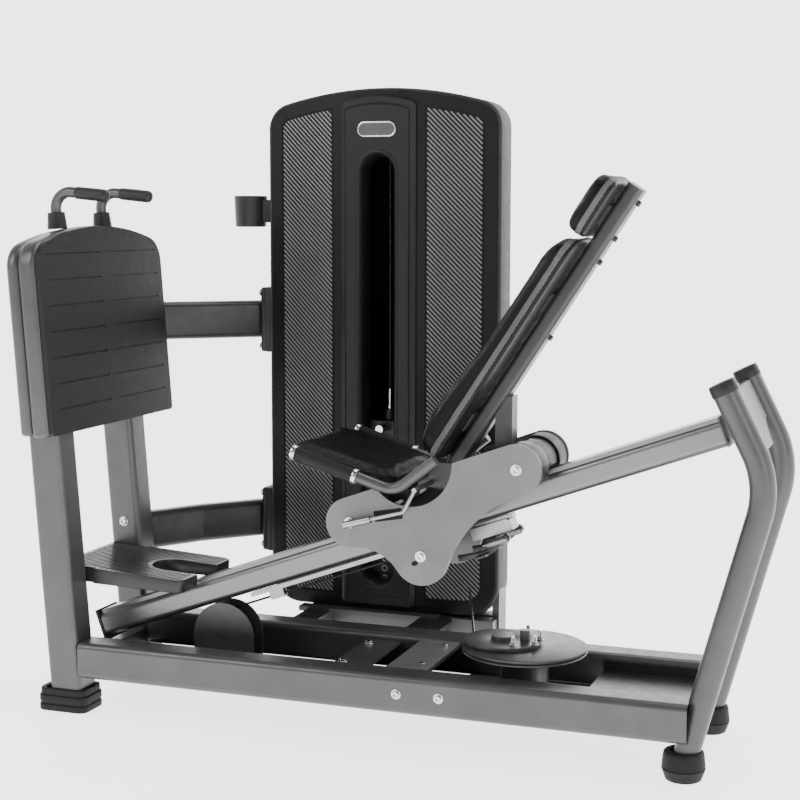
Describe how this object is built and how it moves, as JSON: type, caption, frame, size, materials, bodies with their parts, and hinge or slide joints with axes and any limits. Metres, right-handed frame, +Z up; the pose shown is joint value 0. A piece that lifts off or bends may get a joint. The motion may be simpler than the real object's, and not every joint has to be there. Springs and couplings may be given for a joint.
{
  "type": "leg press machine",
  "caption": "Weight-stack leg press: a padded seat carriage on rollers climbs an inclined rail away from a fixed footplate, a cable lifting the stack in the tower",
  "frame": {"origin": "middle of the machine's footprint on the floor", "axes": "+X from the footplate towards the rear of the rail, +Y towards the weight tower, +Z up"},
  "size_m": [1.9214, 1.043, 1.638],
  "materials": {
    "frame_paint": "metallic grey powder coat, satin",
    "light_paint": "light grey powder coat, satin",
    "dark_paint": "near-black powder coat, satin",
    "bright_steel": "polished",
    "zinc_steel": "brushed",
    "black_plastic": "matte moulded",
    "grey_plastic": "matte moulded",
    "rubber": "matte rubber",
    "roller_tyre": "smooth polyurethane",
    "cable_jacket": "gloss nylon jacket",
    "upholstery": "soft grained vinyl"
  },
  "bodies": {
    "frame": {"front_feet": "rubber", "rear_feet": "rubber", "tower_feet": "rubber", "near_beam": "frame_paint", "far_beam": "frame_paint", "front_posts": "frame_paint", "rear_tubes": "frame_paint", "rear_gusset": "light_paint", "front_cross_member": "frame_paint", "mid_cross_plates": "frame_paint", "rear_deck": "dark_paint", "frame_bolts": "bright_steel", "rail": "bright_steel", "rail_end_plate": "black_plastic", "pulley_guard": "frame_paint", "drive_cable": "cable_jacket", "base_cable": "cable_jacket", "footplate_pad": "rubber", "footplate_shell": "frame_paint", "footplate_back": "frame_paint", "plate_handles": "frame_paint", "handle_collars": "black_plastic", "step_plate": "dark_paint", "upper_arm": "frame_paint", "lower_arm": "frame_paint", "tower_frame": "frame_paint", "tower_base": "frame_paint", "front_shroud": "black_plastic", "rear_shroud": "black_plastic", "mesh_panels": "grey_plastic", "center_cover": "grey_plastic", "badge": "bright_steel", "guide_rods": "bright_steel", "lower_stack": "dark_paint", "cup_holder": "black_plastic", "pulley_brackets": "frame_paint"},
    "front_roller": {"front_roller": "roller_tyre"},
    "rear_roller": {"rear_roller": "roller_tyre"},
    "lower_rollers": {"lower_rollers": "roller_tyre"},
    "rack": {"rack_bar": "zinc_steel", "cable_anchor": "zinc_steel"},
    "lever": {"adjust_lever": "zinc_steel"},
    "cam": {"cam_disc": "frame_paint"},
    "low_pulley": {"low_pulley": "black_plastic"},
    "top_pulley": {"top_pulley": "black_plastic"},
    "lift": {"lifted_plates": "dark_paint", "lift_cable": "cable_jacket"},
    "pin": {"selector_pin": "bright_steel"},
    "carriage": {"carriage_plate_near": "light_paint", "carriage_plate_far": "light_paint", "roller_axles": "bright_steel", "roller_covers": "black_plastic", "seat_frame": "frame_paint", "seat_pad": "upholstery", "back_pad": "upholstery", "head_pad": "upholstery", "back_frame": "frame_paint", "side_handles": "frame_paint", "side_grips": "rubber", "grip_collars": "bright_steel"}
  },
  "joints": [
    {"name": "carriage_slide", "type": "slide", "parent": "frame", "child": "carriage", "axis": [0.9397, 0, 0.342], "range_m": [0, 0.38]},
    {"name": "front_roller_spin", "type": "hinge", "parent": "carriage", "child": "front_roller", "pos_m": [-0.07423, -0.2025, 0.53247], "axis": [0, 1, 0], "range_deg": [-4, 759]},
    {"name": "rear_roller_spin", "type": "hinge", "parent": "carriage", "child": "rear_roller", "pos_m": [0.34957, -0.2025, 0.68672], "axis": [0, 1, 0], "range_deg": [-4, 759]},
    {"name": "lower_roller_spin", "type": "hinge", "parent": "carriage", "child": "lower_rollers", "pos_m": [0.11139, -0.2025, 0.46105], "axis": [0, 1, 0], "range_deg": [-759, 4]},
    {"name": "rack_adjust", "type": "slide", "parent": "carriage", "child": "rack", "axis": [0.9397, 0, 0.342], "range_m": [0, 0.04]},
    {"name": "lever_lift", "type": "hinge", "parent": "carriage", "child": "lever", "pos_m": [0.10424, -0.3625, 0.628], "axis": [0, 1, 0], "range_deg": [0, 18], "stiffness_Nm_per_rad": 4},
    {"name": "cam_turn", "type": "hinge", "parent": "frame", "child": "cam", "pos_m": [0.33824, -0.2025, 0.188], "axis": [0, 0, 1], "range_deg": [-2, 152]},
    {"name": "low_pulley_spin", "type": "hinge", "parent": "frame", "child": "low_pulley", "pos_m": [-0.47276, -0.2025, 0.186], "axis": [0, 1, 0], "range_deg": [-4, 375]},
    {"name": "top_pulley_spin", "type": "hinge", "parent": "frame", "child": "top_pulley", "pos_m": [-0.22376, 0.4185, 1.498], "axis": [-1, 0, 0], "range_deg": [-4, 402]},
    {"name": "weight_lift", "type": "slide", "parent": "frame", "child": "lift", "axis": [0, 0, 1], "range_m": [0, 0.382], "deforming": ["lift_cable"]},
    {"name": "pin_pull", "type": "slide", "parent": "lift", "child": "pin", "axis": [0, -1, 0], "range_m": [0, 0.078]}
  ],
  "couplings": [
    {"joint": "front_roller_spin", "follows": "carriage_slide", "rad_per_m": 34.483},
    {"joint": "rear_roller_spin", "follows": "carriage_slide", "rad_per_m": 34.483},
    {"joint": "lower_roller_spin", "follows": "carriage_slide", "rad_per_m": -34.483},
    {"joint": "cam_turn", "follows": "carriage_slide", "rad_per_m": 6.8895},
    {"joint": "low_pulley_spin", "follows": "carriage_slide", "rad_per_m": 16.949},
    {"joint": "top_pulley_spin", "follows": "carriage_slide", "rad_per_m": 18.182},
    {"joint": "weight_lift", "follows": "carriage_slide", "ratio": 1}
  ]
}
